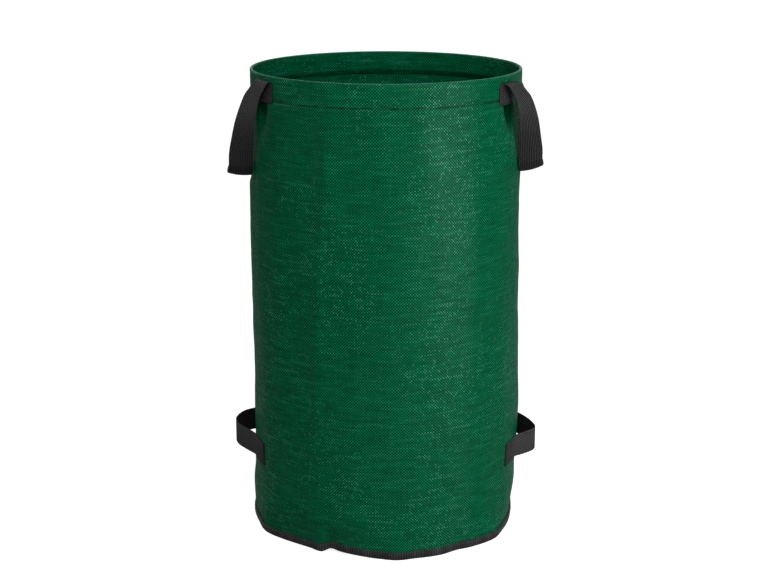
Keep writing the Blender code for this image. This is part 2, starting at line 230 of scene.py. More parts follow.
# Fold under each end of an upper handle: degrees outward of the end's middle, how far it drifts outward, its
# width on the inner and the outer side in degrees, and its depth
PUCKERS = {"left": (6.0, 0.5, 4.8, 1.8, 0.0105), "right": (0.8, 4.6, 2.2, 2.6, 0.0085)}

# Meshes: columns round and rows up the sheets and tape, and steps along the webbing
WALL_COLUMNS = 340
WALL_ROWS = 132
HEM_COLUMNS = 600
BASE_COLUMNS = 240
TAPE_COLUMNS = 540
UPPER_END_STEPS = 10
UPPER_FOLD_STEPS = 20
UPPER_LOOP_STEPS = 80
LOWER_END_STEPS = 12
LOWER_BEND_STEPS = 16
LOWER_LOOP_STEPS = 32
SAME_POINT = 0.00001

# Thread: its stitches, the heights of the sewn lines, how far the back's two rows are from its middle, and
# how many degrees to each side of an upper handle's end the hem's stitches are hidden
STITCH_PITCH = 0.0042
STITCH_LENGTH = 0.0031
THREAD = 0.0006
HEM_STITCH_HEIGHT = 0.7418
BASE_STITCH_HEIGHT = 0.0098
BACK_STITCH_ASIDE = 0.006
STITCH_HIDDEN = 5.6

# Finishes: pitch of the flat green tapes, of the webbing's floats and of the base tape's cords, and the width
# of the base tape before it is folded
TAPE = 0.0024
FLOAT_PITCH = 0.0032
CORD_PITCH = 0.0042
BINDING_WIDTH = 0.030

# Painted shade, a darker colour, in the pulled fold under each end of the right upper handle: degrees inward
# of the end's middle at the hem, degrees further inward and narrower per metre below it, degrees from the
# fold's middle where its edge fades, and how far below the hem it starts and ends
FOLD_INWARD = 2.2
FOLD_SLANT = 76.0
FOLD_NARROWING = 22.0
FOLD_EDGE = (1.9, 3.6)
FOLD_START = (0.0, 0.003)
FOLD_END = (0.03, 0.068)

# Where the webbing's floats are painted paler as a painted highlight, as lengths along it, and where the
# rim's edge is paler from wear and a painted highlight and painted shade lies along the hem's stitching, as
# heights up the cloth
PAINTED_HIGHLIGHT_START = (0.028, 0.045)
PAINTED_HIGHLIGHT_END = (0.085, 0.150)
WEAR_AND_SHEEN_START = (0.7785, 0.7812)
WEAR_AND_SHEEN_END = (0.7850, 0.7822)
STITCH_SHADE_START = (0.7404, 0.7414)
STITCH_SHADE_END = (0.7432, 0.7422)

# Coating: azimuths between which its gloss rises from the left to the front and falls again past the right
# front, and the share of the gloss that is left beyond them
COAT_RISE = (-62.0, 8.0, 0.22)
COAT_FALL = (32.0, 46.0, 0.3)

# Studio
WORLD_LIGHT = 0.32
FLOOR_GLOW = 0.86
FLOOR_DEPTH = 0.0004
CAMERA_PLACE = (0.0, -2.6584, 1.1021)
CAMERA_TILT = 75.16
CAMERA_LENS = 74.755
CAMERA_SENSOR = 36.0

# Soft lamps: name, place, aim, width, height and power
LAMPS = (
    ("key", (0.36, -1.92, 2.65), (0.0, 0.0, 0.45), 1.2, 1.2, 64.0),
    ("low_side", (1.57, -1.31, 0.36), (0.0, 0.0, 0.42), 0.60, 0.66, 20.5),
    ("high_side", (1.95, 0.45, 2.0), (0.0, 0.0, 0.55), 0.6, 1.0, 7.0),
    ("left_fill", (-2.2, -0.2, 1.0), (0.0, 0.0, 0.45), 1.0, 1.4, 4.0),
)


def around(azimuth, radius, height):
    turn = math.radians(azimuth)
    return Vector((radius * math.sin(turn), -radius * math.cos(turn), height))


def side_azimuth(side, forward):
    """Azimuth of a place that lies this many degrees forward of the left or right side."""
    return SIDES[side] * (90.0 - forward)


def ease(share):
    """0 below 0, 1 above 1, and smooth between."""
    share = min(max(share, 0.0), 1.0)
    return share * share * (3.0 - 2.0 * share)


def hump(share):
    return math.exp(-share * share)


def turned_from(azimuth, other):
    return (azimuth - other + 180.0) % 360.0 - 180.0


def ripple(azimuth, length, level, radius=RIM_RADIUS):
    """Uneven waves round the bag, about this long, from -1 to 1."""
    turn = math.radians(azimuth)
    reach = radius / length
    return noise.noise(Vector((reach * math.cos(turn), reach * math.sin(turn), level)))


def smooth_line(rows, place, lap=None):
    """What a smooth line through rows of (place, values) has at this place. lap closes it into a ring."""
    if lap:
        rows = [(row[0] + shift, *row[1:]) for shift in (-lap, 0.0, lap) for row in rows]
        place = rows[0][0] + lap + (place - rows[0][0]) % lap
    place = min(max(place, rows[0][0]), rows[-1][0])
    after = next(index for index in range(1, len(rows)) if place <= rows[index][0])
    start, end = rows[after - 1], rows[after]
    before, beyond = rows[max(after - 2, 0)], rows[min(after + 1, len(rows) - 1)]
    step = end[0] - start[0]
    t = (place - start[0]) / step
    values = []
    for column in range(1, len(start)):
        lead_in = (end[column] - before[column]) / (end[0] - before[0]) * step
        lead_out = (beyond[column] - start[column]) / (beyond[0] - start[0]) * step
        rise = end[column] - start[column]
        bend = (3 * rise - 2 * lead_in - lead_out) * t**2 + (lead_in + lead_out - 2 * rise) * t**3
        values.append(start[column] + lead_in * t + bend)
    return values


@lru_cache(maxsize=None)
def wall_line(height):
    return smooth_line(WALL_LINE, height)


@lru_cache(maxsize=None)
def base_edge(azimuth):
    radius, lift = smooth_line(BASE_EDGE, azimuth, lap=360.0)
    return radius, max(lift, 0.0)


def stiffened(azimuth, height):
    """1 where a handle's sewn end holds the cloth flat, 0 away from it."""
    held = 0.0
    end_half = math.degrees(LOWER_END_LENGTH / 2 / RIM_RADIUS)
    for side in SIDES:
        for sign in ENDS.values():
            middle = side_azimuth(side, sign * (LOWER_END_HALF_SPAN + end_half) - LOWER_HANDLE_SETBACK)
            away = abs(turned_from(azimuth, middle)) - end_half
            above = abs(height - LOWER_HANDLE_HEIGHT) - WEBBING_WIDTH / 2
            held = max(held, (1 - ease(away / 4.0)) * (1 - ease(above / 0.015)))
    return held


def puckers(azimuth, height):
    """Upright folds that each upper handle's end pulls into the cloth below it."""
    below = HEM_BOTTOM - height
    if not 0.0 < below < 0.16:
        return 0.0
    deep = ease(below / 0.005) * (1 - ease((below - 0.005) / 0.070))
    folds = 0.0
    for side, outward in SIDES.items():
        start, drift, inner, outer, depth = PUCKERS[side]
        for sign in ENDS.values():
            middle = side_azimuth(side, sign * UPPER_END_AZIMUTH)
            aside = turned_from(azimuth, middle) * outward * sign - start - drift * min(below / 0.06, 1.4)
            if abs(aside) > 22.0:
                continue
            groove = hump(aside / (inner if aside < 0 else outer))
            crests = hump((aside + 2.2 * inner) / inner) + hump((aside - 2.0 * outer) / outer)
            folds -= depth * deep * (groove - 0.14 * crests)
    return folds


def leaned_on(azimuth, height):
    """Hollow where the left upper handle's lower edge leans on the slack cloth."""
    near, far = LEAN_SPAN
    foot, low, high, top = LEAN_HEIGHTS
    away = abs(turned_from(azimuth, LEAN_AZIMUTH))
    if away > far or not foot < height < top:
        return 0.0
    along = 1 - ease((away - near) / (far - near))
    upright = ease((height - foot) / (low - foot)) * (1 - ease((height - high) / (top - high)))
    return -LEAN_DEPTH * along * upright


def creases(azimuth, height):
    """Shallow ridges where the flat-packed cloth was folded."""
    moved = 0.0
    for top, foot, turn, low, high in CREASES:
        share = height / HEM_BOTTOM
        away = turned_from(azimuth, foot + (top - foot) * share)
        if abs(away) > 40.0:
            continue
        fade = ease((height - low) / 0.30) * (1 - ease((height - high + 0.08) / 0.08))
        reach = math.radians(math.sqrt(away * away + 0.7) - 0.84)
        moved -= turn * RIM_RADIUS * reach * hump(away / 12.0) * fade
    return moved


def buckles(azimuth, height):
    """Unevenness of the slack cloth: broad upright waves, dents, small waves aslant, rows that lie loose, and
    folds pulled aslant to the right of the left upper handle's front end."""
    broad = 0.0020 * ripple(azimuth, 0.110, height * 2.2)
    middle = 0.0012 * ripple(azimuth + 24.0 * height, 0.034, height * 5.0)
    dents = 0.0009 * ripple(azimuth, 0.050, height * 20.0)
    fine = 0.00030 * ripple(azimuth - 60.0 * height, 0.011, height * 30.0)
    loose = 0.00045 * ripple(azimuth, 0.120, height * 42.0)
    pulled = 0.0016 * ripple(azimuth + 250.0 * height, 0.020, 11.0) * hump((azimuth + 34.0) / 9.0)
    pulled *= hump((height - 0.66) / 0.09)
    return broad + middle + dents + fine + loose + pulled


def wall_radius(azimuth, height):
    """Radius of the wall's outer face."""
    radius, lean = wall_line(height)
    sideways = math.sin(math.radians(azimuth))
    radius += lean * sideways
    if height < EDGE_REACH:
        foot_radius, foot_lean = wall_line(0.0)
        edge = base_edge(azimuth)[0] - foot_radius - foot_lean * sideways
        gathered = 0.0007 * ripple(azimuth, 0.012, 3.0) * hump((height - 0.022) / 0.016)
        radius += edge * (1 - ease(height / EDGE_REACH)) + gathered
    slack = ease((HEM_BOTTOM - height) / 0.05) * ease(height / 0.05) * (1 - stiffened(azimuth, height))
    radius += slack * (buckles(azimuth, height) + creases(azimuth, height))
    radius += puckers(azimuth, height) + leaned_on(azimuth, height)
    return radius + hem_pucker(azimuth, height)


def hem_pucker(azimuth, height):
    """Small ripples beside the hem's stitching, drawn in at the line itself."""
    away = height - HEM_STITCH_HEIGHT
    drawn_in = 0.0005 * hump(away / 0.0022)
    small = 0.0005 * ripple(azimuth + 700.0 * abs(away), 0.013, 7.0) * hump(away / 0.014)
    return small - drawn_in


def hem_radius(azimuth, height):
    """Radius of the hem's outer face."""
    up = (height - HEM_BOTTOM) / (BAG_HEIGHT - HEM_BOTTOM)
    wave = 0.0011 * ripple(azimuth, 0.060, 1.5 + up) * math.sin(math.pi * min(max(up, 0.0), 1.0))
    free = ease(up * 4) * ease((1 - up) * 3)
    wave += 0.0004 * ripple(azimuth - 30 * up, 0.020, 4.0 + 2.0 * up) * free
    wave += 0.0011 * ripple(azimuth - 250.0 * height, 0.016, 8.0) * free * hump((azimuth + 38.0) / 12.0)
    return RIM_RADIUS + hem_pucker(azimuth, height) + wave + 0.5 * free * creases(azimuth, height)


def wall_place(azimuth, height):
    lift = base_edge(azimuth)[1] * (1 - ease(height / EDGE_REACH))
    return around(azimuth, wall_radius(azimuth, height), height + lift)


def new_object(name, bm, finish):
    mesh = bpy.data.meshes.new(name)
    bm.to_mesh(mesh)
    bm.free()
    mesh.materials.append(finish)
    mesh.shade_smooth()
    made = bpy.data.objects.new(name, mesh)
    bpy.context.scene.collection.objects.link(made)
    return made


def woven_sheet(name, finish, columns, rows, place, cut):
    """Cloth from a flat grid. place(across, along) takes shares of the cut to a point, and cut(across, along)
    to a place on the flat cut in metres. The face that shows is the one from which along lies to the left of
    across."""
    bm = bmesh.new()
    bmesh.ops.create_grid(bm, x_segments=columns, y_segments=rows, size=0.5)
    cut_map = bm.loops.layers.uv.new("cut")
    for face in bm.faces:
        for corner in face.loops:
            flat = corner.vert.co
            corner[cut_map].uv = cut(flat.x + 0.5, flat.y + 0.5)
    for vert in bm.verts:
        vert.co = place(vert.co.x + 0.5, vert.co.y + 0.5)
    bmesh.ops.remove_doubles(bm, verts=bm.verts, dist=SAME_POINT)
    made = new_object(name, bm, finish)
    body = made.modifiers.new("cloth", "SOLIDIFY")
    body.thickness = CLOTH
    body.offset = -1.0
    return made


def wall_height(share):
    """Heights of the wall's rows, closer together near the base and under the hem."""
    spread = share - 0.5 * math.sin(math.tau * share) / math.tau
    return WALL_FOOT + (HEM_BOTTOM - WALL_FOOT) * spread


def wall_columns():
    """Azimuths of evenly shared columns, as many degrees apart as the cloth is smooth there."""
    ends = [side_azimuth(side, sign * (UPPER_END_AZIMUTH - 3.0)) for side in SIDES for sign in ENDS.values()]
    azimuth, sums = -180.0, [0.0]
    while azimuth < 180.0:
        sums.append(sums[-1] + 1.0 + 2.2 * sum(hump((azimuth + 0.125 - end) / 6.0) for end in ends))
        azimuth += 0.25
    columns, at = [], 0
    for column in range(WALL_COLUMNS + 1):
        wanted = sums[-1] * column / WALL_COLUMNS
        while at < len(sums) - 2 and sums[at + 1] < wanted:
            at += 1
        columns.append(-180.0 + 0.25 * (at + (wanted - sums[at]) / (sums[at + 1] - sums[at])))
    return columns


def make_wall(finish):
    """The wall up to the hem's stitching. Its last row turns in behind the hem."""
    columns = wall_columns()

    def place(across, along):
        azimuth = columns[round(across * WALL_COLUMNS)]
        if along > 1.0 - 0.5 / WALL_ROWS:
            return around(azimuth, RIM_RADIUS - 1.2 * CLOTH, HEM_BOTTOM + 0.002)
        return wall_place(azimuth, wall_height(along * WALL_ROWS / (WALL_ROWS - 1)))

    def cut(across, along):
        turned = columns[round(across * WALL_COLUMNS)] / 360.0 + 0.5
        return RIM_ROUND * turned, wall_height(min(along * WALL_ROWS / (WALL_ROWS - 1), 1.0))

    return woven_sheet("wall_cloth", finish, WALL_COLUMNS, WALL_ROWS, place, cut)


def hem_way(distance):
    """How far in from the hem's outer face, and how high, the cloth is after this much of its way."""
    upright = POCKET_TOP - HEM_BOTTOM
    fold = math.pi * HEM_THICKNESS / 2
    if distance < upright:
        return 0.0, HEM_BOTTOM + distance
    if distance < upright + fold:
        turn = (distance - upright) / (HEM_THICKNESS / 2)
        return HEM_THICKNESS / 2 * (1 - math.cos(turn)), POCKET_TOP + HEM_THICKNESS / 2 * math.sin(turn)
    height = POCKET_TOP - (distance - upright - fold)
    slope = ease((HEM_BOTTOM + 0.008 - height) / 0.007)
    return HEM_THICKNESS + (1.7 * CLOTH - HEM_THICKNESS) * slope, height


HEM_WAY_LENGTH = 2 * (POCKET_TOP - HEM_BOTTOM) + math.pi * HEM_THICKNESS / 2
HEM_STOPS = (
    *(0.0018 * step for step in range(4)),
    *(0.0080 + 0.0042 * step for step in range(8)),
    *(POCKET_TOP - HEM_BOTTOM + math.pi * HEM_THICKNESS / 16 * step for step in range(9)),
    *(POCKET_TOP - HEM_BOTTOM + math.pi * HEM_THICKNESS / 2 + 0.0045 * step for step in range(1, 7)),
    *(HEM_WAY_LENGTH - 0.0020 * step for step in range(4, -1, -1)),
)


def make_hem(finish):
    """The top of the wall, turned inwards over the hoop and sewn down."""
    rows = len(HEM_STOPS) - 1

    def place(across, along):
        azimuth = 360.0 * across - 180.0
        inwards, height = hem_way(HEM_STOPS[round(along * rows)])
        return around(azimuth, hem_radius(azimuth, height) - inwards, height)

    def cut(across, along):
        return RIM_ROUND * across, HEM_BOTTOM + HEM_STOPS[round(along * rows)]

    return woven_sheet("mouth_hem", finish, HEM_COLUMNS, rows, place, cut)


# Base cloth from its middle to the bound seam: share of the edge's radius, height, and how much of the lift
BASE_WAY = (
    (0.000, 0.0002, 0.0),
    (0.200, 0.0002, 0.0),
    (0.400, 0.0002, 0.0),
    (0.560, 0.0002, 0.0),
    (0.680, 0.0003, 0.1),
    (0.780, 0.0006, 0.3),
    (0.860, 0.0012, 0.55),
    (0.920, 0.0024, 0.8),
    (0.955, 0.0050, 0.95),
    (0.972, 0.0085, 1.0),
    (0.982, 0.0104, 1.0),
    (0.9895, 0.0102, 1.0),
    (0.9905, 0.0060, 1.0),
    (0.9910, 0.0022, 1.0),
)


def make_base(finish):
    """The round bottom, lifted at its edge to the seam inside the tape."""
    rows = 3 * (len(BASE_WAY) - 1)
    way = [(float(index), *row) for index, row in enumerate(BASE_WAY)]

    def place(across, along):
        azimuth = 360.0 * across - 180.0
        edge, lift = base_edge(azimuth)
        share, height, lifted = smooth_line(way, along * (len(way) - 1))
        slack = 0.0012 * (1 + ripple(azimuth, 0.09, 3.0 + 4.0 * share))
        slack *= ease(share * 2.5) * (1 - ease(share * 4 - 3))
        return around(azimuth, edge * share, height + lift * lifted + slack)

    def cut(across, along):
        point = place(across, along)
        return point.x + RIM_RADIUS, point.y + RIM_RADIUS

    return woven_sheet("base_cloth", finish, BASE_COLUMNS, rows, place, cut)


# Section of the base tape, folded up round the seam: outwards from the cloth's edge, and up
BINDING_SECTION = (
    (-0.0042, 0.0118),
    (-0.0043, 0.0070),
    (-0.0042, 0.0022),
    (-0.0036, 0.0005),
    (-0.0020, 0.0000),
    (0.0000, 0.0000),
    (0.0012, 0.0004),
    (0.0021, 0.0017),
    (0.0025, 0.0040),
    (0.0024, 0.0070),
    (0.0023, 0.0100),
    (0.0020, 0.0124),
    (0.0014, 0.0134),
    (0.0005, 0.0131),
    (0.0003, 0.0070),
    (0.0003, 0.0018),
    (-0.0012, 0.0015),
    (-0.0024, 0.0018),
    (-0.0027, 0.0070),
    (-0.0027, 0.0118),
)


def make_base_tape(finish):
    """Ribbed tape folded up round the bottom seam, following its waves."""
    count = len(BINDING_SECTION)
    bm = bmesh.new()
    bmesh.ops.create_grid(bm, x_segments=TAPE_COLUMNS, y_segments=count, size=0.5)
    tape_map = bm.loops.layers.uv.new("cut")
    for face in bm.faces:
        for corner in face.loops:
            flat = corner.vert.co
            corner[tape_map].uv = RIM_ROUND * (flat.x + 0.5), BINDING_WIDTH * (flat.y + 0.5)
    for vert in bm.verts:
        azimuth = 360.0 * vert.co.x
        out, up = BINDING_SECTION[round((vert.co.y + 0.5) * count) % count]
        edge, lift = base_edge(azimuth)
        bulge = 0.0005 * ripple(azimuth, 0.010, 5.0) * ease(up / 0.004)
        uneven = 0.0010 * ripple(azimuth, 0.024, 9.0) * ease(up / 0.012)
        vert.co = around(azimuth, edge + out + bulge, up + lift + uneven)
    bmesh.ops.remove_doubles(bm, verts=bm.verts, dist=SAME_POINT)
    bmesh.ops.recalc_face_normals(bm, faces=bm.faces)
    return new_object("base_tape", bm, finish)


def webbing_section():
    """Places round the webbing's section, as shares of half its width and half its thickness."""
    steps = WEBBING_RIBS * RIB_STEPS
    face = []
    for step in range(steps + 1):
        groove = abs(2.0 * (step % RIB_STEPS) / RIB_STEPS - 1.0) ** 4
        edge = SELVEDGE_THINNING if step in (0, steps) else 0.0
        face.append((2.0 * step / steps - 1.0, 1.0 - RIB_DEPTH * groove - edge))
    return face + [(-across, -lift) for across, lift in face]


SECTION = webbing_section()


def webbing(name, frames, finish):
    """A stretch of webbing along frames of (centre, half width, half thickness, hollow, length so far)."""
    columns, rows = len(SECTION), len(frames) - 1
    bm = bmesh.new()
    bmesh.ops.create_grid(bm, x_segments=columns, y_segments=rows, size=0.5)
    strap_map = bm.loops.layers.uv.new("cut")
    for face in bm.faces:
        for corner in face.loops:
            flat = corner.vert.co
            along = frames[round((flat.y + 0.5) * rows)][4]
            corner[strap_map].uv = 2 * WEBBING_WIDTH * (flat.x + 0.5), along
    for vert in bm.verts:
        across, lift = SECTION[round((vert.co.x + 0.5) * columns) % columns]
        centre, wide, deep, hollow, _ = frames[round((vert.co.y + 0.5) * rows)]
        cupped = hollow * (across * WEBBING_WIDTH / 2) ** 2 / 2
        vert.co = centre + wide * across + deep * lift + deep.normalized() * cupped
    bmesh.ops.remove_doubles(bm, verts=bm.verts, dist=SAME_POINT)
    bmesh.ops.holes_fill(bm, edges=bm.edges, sides=0)
    bmesh.ops.recalc_face_normals(bm, faces=bm.faces)
    if bm.calc_volume(signed=True) < 0:
        bmesh.ops.reverse_faces(bm, faces=bm.faces)
    return new_object(name, bm, finish)


def frames_along(stations):
    """Turns stations of (centre, direction across, hollow) into frames for webbing()."""
    frames = []
    length = 0.0
    last = len(stations) - 1
    for index, (centre, across, hollow) in enumerate(stations):
        along = (stations[min(index + 1, last)][0] - stations[max(index - 1, 0)][0]).normalized()
        wide = across.normalized() * (WEBBING_WIDTH / 2)
        deep = along.cross(wide).normalized() * (WEBBING_THICKNESS / 2)
        if index:
            length += (centre - stations[index - 1][0]).length
        frames.append((centre, wide, deep, hollow, length))
    return frames


def upper_station(side, sign, azimuth, radius, height, twist, hollow=0.0, roll=0.0):
    """A place on an upper handle. twist turns the webbing from flat on the wall to square off it, hollow
    curls its edges towards the bag or the inside of the loop, and roll drops its inner edge."""
    outward = SIDES[side]
    middle = math.radians(azimuth)
    turn = math.radians(UPPER_END_AZIMUTH + (90.0 - UPPER_END_AZIMUTH) * twist)
    height += UPPER_SHIFTS[side]
    centre = Vector((outward * radius * math.cos(middle), -sign * radius * math.sin(middle), height))
    across = Vector((outward * math.sin(turn), sign * math.cos(turn), roll))
    return centre, across, outward * hollow


def upper_half(side, sign):
    """Stations of half an upper handle: its sewn end, its fold, and its loop down to the middle."""
    seat = RIM_RADIUS + SEWN_GAP + WEBBING_THICKNESS / 2
    top = BAG_HEIGHT - UPPER_END_TOP
    loop_share, reach_share, _, loop_twist = UPPER_LOOP_WAY[0]
    reach = RIM_RADIUS + UPPER_LOOP_REACH * reach_share + UPPER_BULGES[side] - seat
    drop = UPPER_DROPS[side] - UPPER_END_TOP
    sewn = []
    for step in range(UPPER_END_STEPS):
        height = top - UPPER_END_LENGTH * (1 - step / UPPER_END_STEPS)
        sewn.append(upper_station(side, sign, UPPER_END_AZIMUTH, seat, height, 0.0, 1 / RIM_RADIUS))
    fold = []
    for step in range(UPPER_FOLD_STEPS):
        share = step / UPPER_FOLD_STEPS
        turn = UPPER_FOLD_TURN * share
        radius = seat + reach * (1 - math.cos(turn)) / (1 - math.cos(UPPER_FOLD_TURN))
        azimuth = UPPER_END_AZIMUTH * (1 + (loop_share - 1) * share)
        height = top + UPPER_FOLD_RADIUS * (math.sin(turn) - share * share * math.sin(UPPER_FOLD_TURN))
        hollow = (1 - ease(share)) / RIM_RADIUS
        fold.append(upper_station(side, sign, azimuth, radius, height, loop_twist * share, hollow))
    way = [(float(index), *row) for index, row in enumerate(UPPER_LOOP_WAY)]
    loop = []
    for step in range(UPPER_LOOP_STEPS + 1):
        share, out, down, twist = smooth_line(way, (len(way) - 1) * step / UPPER_LOOP_STEPS)
        bulge = UPPER_BULGES[side] * (1 - ease((down - 0.1) / 0.6))
        radius = RIM_RADIUS + UPPER_LOOP_REACH * out + bulge
        low = ease((down - 0.35) / 0.6)
        radius += UPPER_LOW_REACHES[side] * low
        roll = UPPER_ROLLS[side] * low + MIDDLE_ROLL * ease((0.52 - share) / 0.5)
        place = (UPPER_END_AZIMUTH * share, radius, top - drop * down, twist)
        loop.append(upper_station(side, sign, *place, -LOOP_HOLLOW * low, roll))
    return sewn + fold + loop


def make_upper_handle(side, finish):
    """Webbing in five pieces: sewn ends on the rim, the folds over their tops, and the loop that swings."""
    half = upper_half(side, ENDS["front"])
    other = upper_half(side, ENDS["rear"])
    frames = frames_along(half + other[-2::-1])
    last = len(frames) - 1
    fold_start, loop_start = UPPER_END_STEPS, UPPER_END_STEPS + UPPER_FOLD_STEPS
    handle = f"upper_{side}_handle"
    cuts = {
        "front_end": (0, fold_start),
        "front_bend": (fold_start, loop_start),
        "loop": (loop_start, last - loop_start),
        "rear_bend": (last - loop_start, last - fold_start),
        "rear_end": (last - fold_start, last),
    }
    for part, (start, end) in cuts.items():
        node = f"upper_{side}_{part}"
        piece = webbing(f"{node}_webbing", frames[start : end + 1], finish)
        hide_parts(node)
        if part.endswith("bend"):
            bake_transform(piece)
        else:
            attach(piece, handle if part == "loop" else "rim")


def lower_station(side, away):
    """A place on a lower handle, at this angle from its middle, positive to the front."""
    stand_off, lift = (max(value, 0.0) for value in smooth_line(LOWER_LOOP_WAYS[side], away))
    azimuth = side_azimuth(side, away - LOWER_HANDLE_SETBACK)
    half = WEBBING_WIDTH / 2
    low = wall_place(azimuth, LOWER_HANDLE_HEIGHT - half)
    high = wall_place(azimuth, LOWER_HANDLE_HEIGHT + half)
    sewn = wall_radius(azimuth, LOWER_HANDLE_HEIGHT) + SEWN_GAP + WEBBING_THICKNESS / 2
    centre = around(azimuth, sewn + stand_off, LOWER_HANDLE_HEIGHT + lift)
    upright = (high - low).normalized().lerp(Vector((0.0, 0.0, 1.0)), ease(stand_off / 0.012))
    return centre, upright, 0.0


def make_lower_handle(side, finish):
    """Webbing in five pieces: sewn ends, the bends beside them, and the loop that stands off the wall."""
    end_span = 2 * math.degrees(LOWER_END_LENGTH / 2 / RIM_RADIUS)
    outer = LOWER_END_HALF_SPAN + end_span
    front = outer + LOWER_FRONT_EXTRAS[side]
    stops = [
        (front, LOWER_END_HALF_SPAN, LOWER_END_STEPS),
        (LOWER_END_HALF_SPAN, LOWER_BEND_HALF_SPAN, LOWER_BEND_STEPS),
        (LOWER_BEND_HALF_SPAN, -LOWER_BEND_HALF_SPAN, LOWER_LOOP_STEPS),
        (-LOWER_BEND_HALF_SPAN, -LOWER_END_HALF_SPAN, LOWER_BEND_STEPS),
        (-LOWER_END_HALF_SPAN, -outer, LOWER_END_STEPS),
    ]
    angles = [front]
    corners = [0]
    for start, end, steps in stops:
        angles += [start + (end - start) * step / steps for step in range(1, steps + 1)]
        corners.append(len(angles) - 1)
    frames = frames_along([lower_station(side, away) for away in angles])
    seat, handle = f"lower_{side}_seat", f"lower_{side}_handle"
    names = ("front_end", "front_bend", "loop", "rear_bend", "rear_end")
    for part, start, end in zip(names, corners, corners[1:]):
        node = f"lower_{side}_{part}"
        piece = webbing(f"{node}_webbing", frames[start : end + 1], finish)
        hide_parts(node)
        if part.endswith("bend"):
            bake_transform(piece)
        else:
            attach(piece, handle if part == "loop" else seat)


def stitch(bm, centre, along, outward):
    """One stitch: a short rounded bar of thread, half sunk in the cloth."""
    across = outward.cross(along).normalized()
    outward = along.cross(across).normalized()
    turn = Matrix((across, outward, along)).transposed().to_4x4()
    size = Matrix.Diagonal((THREAD / 2, THREAD / 2, STITCH_LENGTH / 2, 1.0))
    place = Matrix.Translation(centre) @ turn @ size
    bmesh.ops.create_uvsphere(bm, u_segments=6, v_segments=4, radius=1.0, matrix=place)


def sew(bm, place, start, end, skip=None):
    """A straight run of stitches between two flat places. place(x, y) gives a point and the way outwards."""
    length = math.dist(start, end)
    count = max(1, round(length / STITCH_PITCH))
    half = STITCH_LENGTH / 2 / length
    for index in range(count):
        share = (index + 0.5) / count
        if skip and skip(start[0] + (end[0] - start[0]) * share):
            continue
        ends = [[a + (b - a) * (share + way) for a, b in zip(start, end)] for way in (-half, half)]
        (head, outward), (tail, _) = place(*ends[0]), place(*ends[1])
        stitch(bm, (head + tail) / 2, (tail - head).normalized(), outward)


def rim_radius(azimuth, height):
    """The upper handles' ends lie on the hoop's round, not on the hem's waves."""
    return RIM_RADIUS


def on_round(radius):
    """Flat places measured round the bag and up it, on a face with this radius(azimuth, height)."""

    def place(x, y):
        azimuth = math.degrees(x / RIM_RADIUS)
        return around(azimuth, radius(azimuth, y), y), around(azimuth, 1.0, 0.0)

    return place


def under_a_handle(x):
    azimuth = math.degrees(x / RIM_RADIUS)
    ends = [side_azimuth(side, sign * UPPER_END_AZIMUTH) for side in SIDES for sign in ENDS.values()]
    return any(abs(turned_from(azimuth, end)) < STITCH_HIDDEN for end in ends)


def make_hem_stitching(finish):
    bm = bmesh.new()
    run = RIM_ROUND / 2
    place = on_round(hem_radius)
    sew(bm, place, (-run, HEM_STITCH_HEIGHT), (run, HEM_STITCH_HEIGHT), under_a_handle)
    return new_object("hem_stitching", bm, finish)


def make_back_seam_stitching(finish):
    """Two rows up the back, where the wall's upright edges lap inside."""
    bm = bmesh.new()
    for aside in (-BACK_STITCH_ASIDE, BACK_STITCH_ASIDE):
        x = RIM_ROUND / 2 + aside
        sew(bm, on_round(wall_radius), (x, 0.016), (x, HEM_BOTTOM - 0.006))
    return new_object("back_seam_stitching", bm, finish)


def make_base_stitching(finish):
    def place(x, y):
        azimuth = math.degrees(x / RIM_RADIUS)
        edge, lift = base_edge(azimuth)
        bulge = 0.0005 * ripple(azimuth, 0.010, 5.0)
        return around(azimuth, edge + 0.0023 + bulge, y + lift), around(azimuth, 1.0, 0.0)

    bm = bmesh.new()
    run = RIM_ROUND / 2
    sew(bm, place, (-run, BASE_STITCH_HEIGHT), (run, BASE_STITCH_HEIGHT))
    return new_object("base_stitching", bm, finish)


def make_end_stitching(name, azimuth, height, box, radius, finish):
    """A box with a cross in it, through a handle's sewn end."""
    half_round, half_high = box

    def place(x, y):
        at = azimuth + math.degrees(x / RIM_RADIUS)
        face = radius(at, height) + SEWN_GAP + WEBBING_THICKNESS
        return around(at, face, height + y), around(at, 1.0, 0.0)

    corners = [(x * half_round, y * half_high) for x, y in ((-1, -1), (1, -1), (1, 1), (-1, 1))]
    bm = bmesh.new()
    for start, end in zip(corners, corners[1:] + corners[:1]):
        sew(bm, place, start, end)
    sew(bm, place, corners[0], corners[2])
    sew(bm, place, corners[1], corners[3])
    return new_object(name, bm, finish)


def make_seam_lap(finish):
    """The doubled edge of the wall, inside the back."""
    width, foot, top = LAP_WIDTH, LAP_FOOT, HEM_BOTTOM - LAP_BELOW_HEM

    def place(across, along):
        azimuth = 180.0 + math.degrees((across - 0.5) * width / RIM_RADIUS)
        height = foot + (top - foot) * along
        return around(azimuth, wall_radius(azimuth, height) - CLOTH - 0.0001, height)

    def cut(across, along):
        return width * across, (top - foot) * along

    return woven_sheet("back_seam_lap", finish, 8, 120, place, cut)


